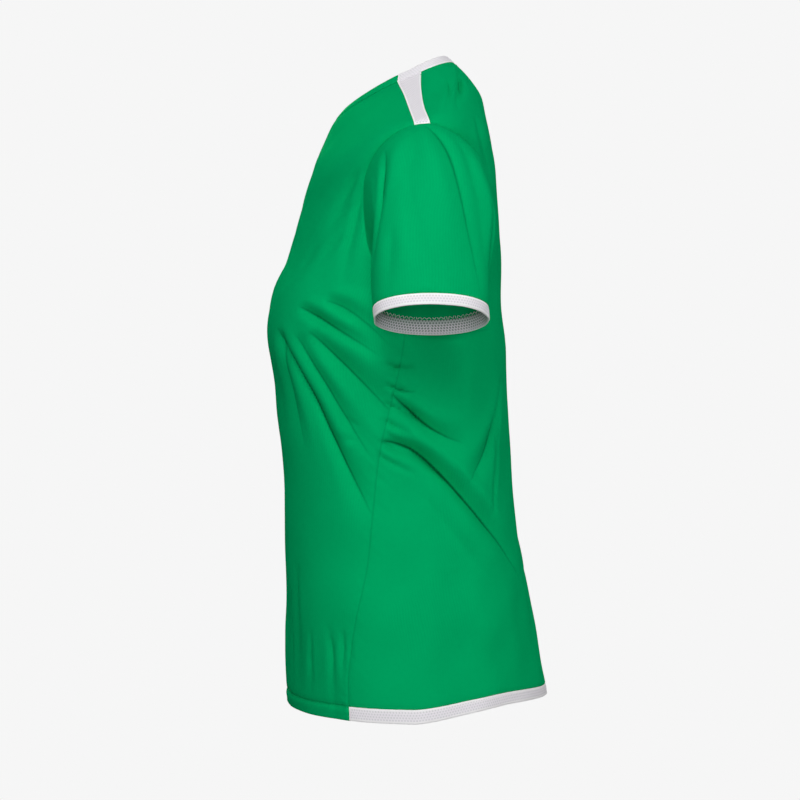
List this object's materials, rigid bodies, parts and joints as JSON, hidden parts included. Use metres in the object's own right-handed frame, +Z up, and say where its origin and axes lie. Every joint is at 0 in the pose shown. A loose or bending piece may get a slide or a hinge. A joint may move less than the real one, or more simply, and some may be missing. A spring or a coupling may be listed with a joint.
{
  "type": "football jersey",
  "caption": "Short-sleeved women's football jersey in green knit with white mesh shoulder inserts, cuffs and back hem, filled out as worn and open at neck, cuffs and hem.",
  "frame": {"origin": "midway between the two points where the shoulder lines meet the neckband, which is where the wearer's shoulders carry the shirt", "axes": "+X to the wearer's left, -Y to the wearer's front, +Z up"},
  "size_m": [0.5454, 0.2761, 0.6406],
  "materials": {
    "green_knit": "smooth polyester knit with a soft sheen",
    "white_mesh": "matt white polyester mesh with fine even holes"
  },
  "bodies": {
    "root": {"front_panel": "green_knit", "back_panel": "green_knit", "back_hem_band": "white_mesh", "shoulder_insert_left": "white_mesh", "sleeve_left": "green_knit", "cuff_left": "white_mesh", "shoulder_insert_right": "white_mesh", "sleeve_right": "green_knit", "cuff_right": "white_mesh", "neckband_front": "green_knit", "neckband_back": "white_mesh"}
  },
  "joints": []
}
